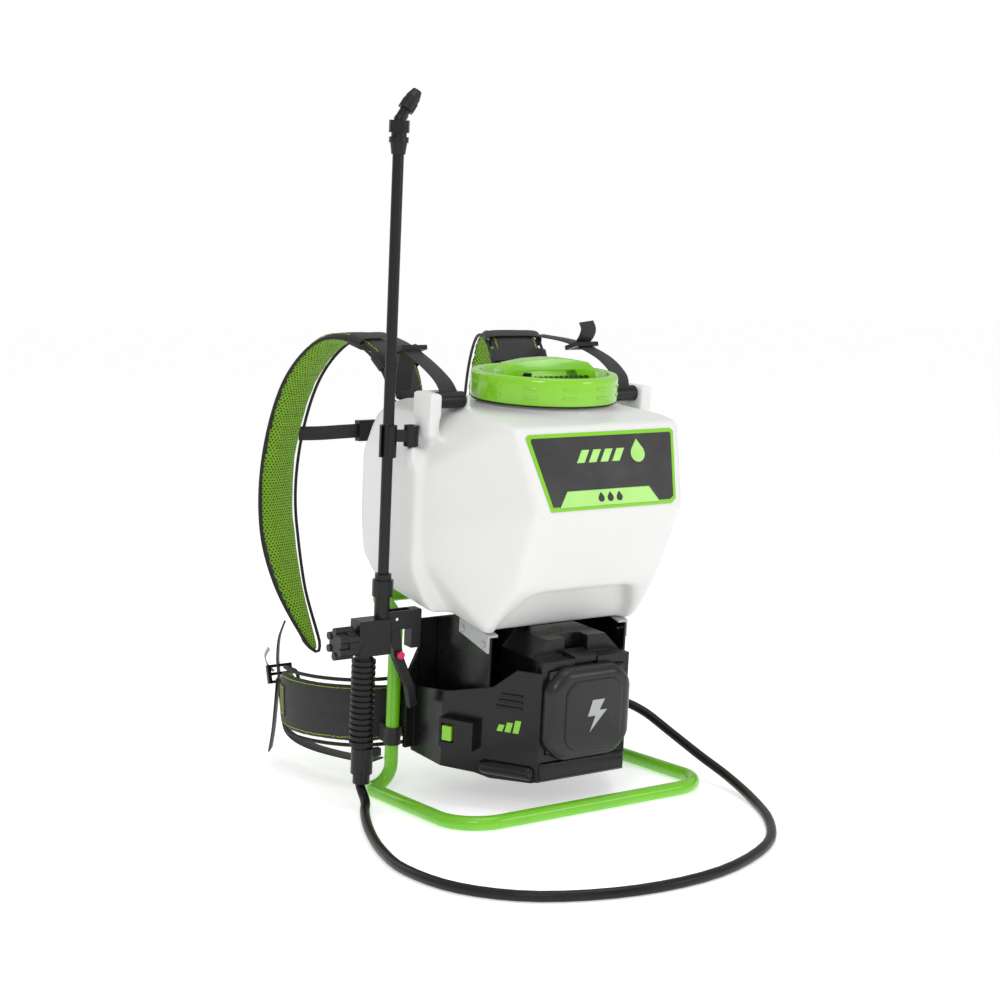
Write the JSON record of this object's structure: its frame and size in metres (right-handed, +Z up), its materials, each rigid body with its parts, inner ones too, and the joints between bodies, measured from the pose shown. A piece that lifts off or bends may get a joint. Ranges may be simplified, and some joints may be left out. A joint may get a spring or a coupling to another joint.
{
  "type": "backpack sprayer",
  "caption": "Backpack sprayer: leaning white tank with screw cap over a battery pump housing on a bent tube frame, padded harness, hose, trigger gun and tall lance.",
  "frame": {"origin": "centre of the footprint box, on the floor under the floor loop, measured without the hose", "axes": "+Z up, -Y is the label and battery face, +Y is the wearer's side, +X is the side of the pump outlet; the tank and uprights lean 4.7 degrees towards -Y"},
  "size_m": [0.5799, 0.8454, 0.9033],
  "materials": {
    "green_paint": "semi-gloss powder coat",
    "zinc": "bright zinc",
    "bracket": "light grey paint",
    "tank_white": "milky blow-moulded polyethylene",
    "green_plastic": "bright green",
    "black_plastic": "black, satin",
    "dark_plastic": "dark grey",
    "rubber_black": "matt black",
    "clear_grey": "smoky grey",
    "red_plastic": "signal red",
    "brass": "plain",
    "board": "green solder mask",
    "cell": "blue sleeve",
    "webbing": "black webbing",
    "pad_cloth": "dark woven cloth with green mesh lining"
  },
  "bodies": {
    "carrier": {"base_loop": "green_paint", "back_frame": "green_paint", "frame_bolts": "zinc", "tank_brackets": "bracket", "bracket_screws": "zinc", "tank": "tank_white", "neck_ring": "tank_white", "strap_lugs": "tank_white", "tank_label": "green_plastic", "neck_strainer": "dark_plastic", "lug_rollers": "black_plastic", "strap_anchors": "black_plastic", "wand_clip": "black_plastic", "tank_outlet": "black_plastic", "suction_hose": "clear_grey", "housing": "black_plastic", "lower_cover": "dark_plastic", "housing_screws": "zinc", "pump_motor": "zinc", "pump_head": "dark_plastic", "outlet_elbow": "black_plastic", "outlet_nut": "black_plastic", "circuit_board": "board", "battery_terminals": "brass", "switch_box": "black_plastic", "latch_pin": "zinc", "drip_skirt": "clear_grey", "gun_body": "black_plastic", "gun_grip": "rubber_black", "valve_spring": "zinc", "trigger_pin": "zinc", "guard_studs": "red_plastic", "lance_nut": "black_plastic", "lance_tube": "black_plastic", "lance_collar": "black_plastic", "nozzle_elbow": "black_plastic", "grip_nut": "black_plastic", "hose": "rubber_black", "left_pad": "pad_cloth", "right_pad": "pad_cloth", "lifter_webbing": "webbing", "ladder_locks": "black_plastic", "lower_webbing": "webbing", "sternum_strap": "webbing", "sternum_buckle": "black_plastic", "hip_belt": "pad_cloth", "belt_loops": "webbing"},
    "seal": {"cap_gasket": "rubber_black"},
    "cap": {"cap": "green_plastic", "cap_vent": "dark_plastic"},
    "battery": {"battery_pack": "dark_plastic", "battery_cells": "cell"},
    "latch": {"battery_latch": "dark_plastic"},
    "button": {"power_button": "green_plastic"},
    "trigger": {"trigger": "dark_plastic"},
    "lock": {"trigger_lock": "red_plastic"},
    "stem": {"valve_stem": "brass"},
    "knob": {"filter_knob": "dark_plastic", "gun_filter": "brass"},
    "nozzle": {"nozzle_cap": "dark_plastic"}
  },
  "joints": [
    {"name": "cap_lift", "type": "slide", "parent": "carrier", "child": "seal", "axis": [0, -0.0819, 0.9966], "range_m": [0, 0.07]},
    {"name": "cap_turn", "type": "hinge", "parent": "seal", "child": "cap", "pos_m": [0.02116, -0.13847, 0.53141], "axis": [0, -0.0819, 0.9966], "range_deg": [0, 90]},
    {"name": "battery_slide", "type": "slide", "parent": "carrier", "child": "battery", "axis": [0, -0.9966, -0.0819], "range_m": [0, 0.09]},
    {"name": "latch_hinge", "type": "hinge", "parent": "carrier", "child": "latch", "pos_m": [0.02116, -0.20245, 0.19905], "axis": [-1, 0, 0], "range_deg": [0, 24], "stiffness_Nm_per_rad": 0.05},
    {"name": "button_press", "type": "slide", "parent": "carrier", "child": "button", "axis": [0.8725, 0.487, 0.04], "range_m": [0, 0.003], "stiffness_N_per_m": 400},
    {"name": "trigger_pull", "type": "hinge", "parent": "carrier", "child": "trigger", "pos_m": [-0.17384, -0.08381, 0.24493], "axis": [0, 0.9966, 0.0819], "range_deg": [0, 14], "stiffness_Nm_per_rad": 0.3},
    {"name": "lock_slide", "type": "slide", "parent": "trigger", "child": "lock", "axis": [0, 0.9966, 0.0819], "range_m": [-0.002, 0.002]},
    {"name": "stem_lift", "type": "slide", "parent": "carrier", "child": "stem", "axis": [0, 0.0819, -0.9966], "range_m": [0, 0.003]},
    {"name": "filter_turn", "type": "hinge", "parent": "carrier", "child": "knob", "pos_m": [-0.26084, -0.08168, 0.21902], "axis": [1, 0, 0], "continuous": true},
    {"name": "nozzle_turn", "type": "hinge", "parent": "carrier", "child": "nozzle", "pos_m": [-0.19084, -0.13478, 0.86484], "axis": [0.5592, -0.0679, 0.8262], "continuous": true}
  ],
  "couplings": [
    {"joint": "stem_lift", "follows": "trigger_pull", "m_per_rad": 0.0115}
  ]
}
